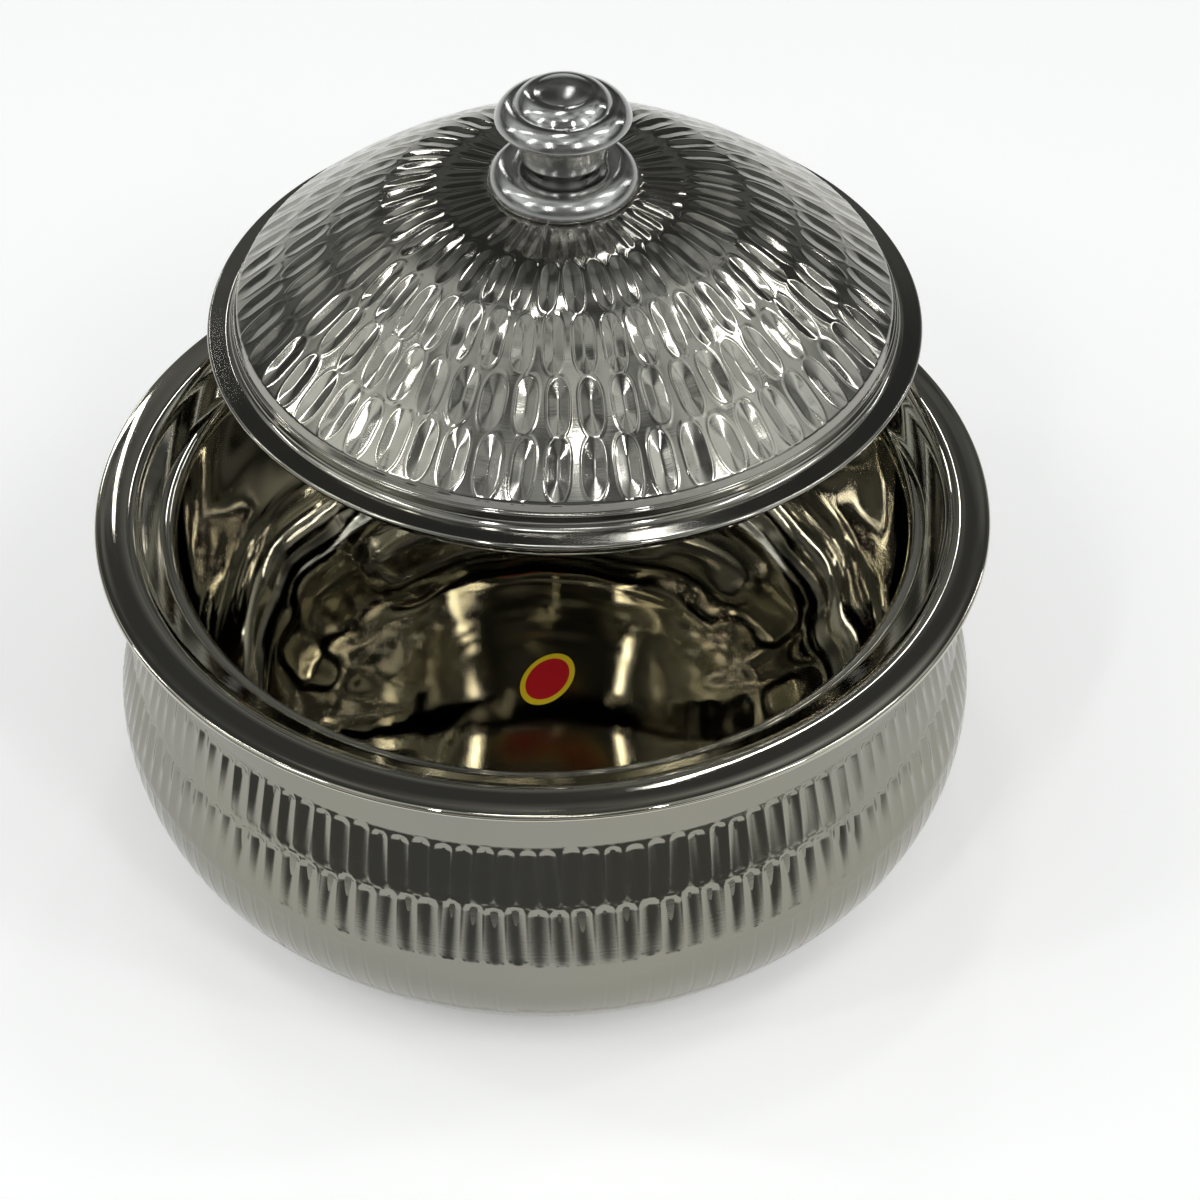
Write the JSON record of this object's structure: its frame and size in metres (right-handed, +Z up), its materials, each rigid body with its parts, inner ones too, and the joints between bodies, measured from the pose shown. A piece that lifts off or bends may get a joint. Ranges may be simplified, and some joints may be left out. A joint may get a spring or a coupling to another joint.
{
  "type": "insulated casserole with loose lid",
  "caption": "Round double-walled steel casserole with a hammered body, wide rolled rim, smooth inner bowl and a loose domed insulated lid with a tiered knob, parked open on the rim.",
  "frame": {"origin": "on the pot's axis, at the underside of its base plate", "axes": "+Z up along the pot's axis; +Y from the pot's axis towards the back, where the parked lid overhangs the rim; +X to the right"},
  "size_m": [0.28, 0.3337, 0.2181],
  "materials": {
    "polished_steel": "polished",
    "hammered_steel": "polished",
    "satin_steel": "satin",
    "foam": "matte",
    "plug_plastic": "matte",
    "label_film": "gloss"
  },
  "bodies": {
    "pot": {"inner_bowl": "polished_steel", "outer_shell": "hammered_steel", "body_insulation": "foam", "base_plate": "satin_steel", "fill_plug": "plug_plastic", "label": "label_film"},
    "lid": {"lid_dome": "hammered_steel", "lid_liner": "polished_steel", "lid_insulation": "foam", "knob_collar": "polished_steel", "knob_spacer": "satin_steel", "knob_cup": "polished_steel", "knob_cap": "polished_steel", "knob_nut": "satin_steel", "knob_screw": "satin_steel", "knob_washer": "satin_steel"}
  },
  "joints": [
    {"name": "lid_lift", "type": "slide", "parent": "pot", "child": "lid", "axis": [0, 0, 1], "range_m": [0, 0.15]}
  ]
}
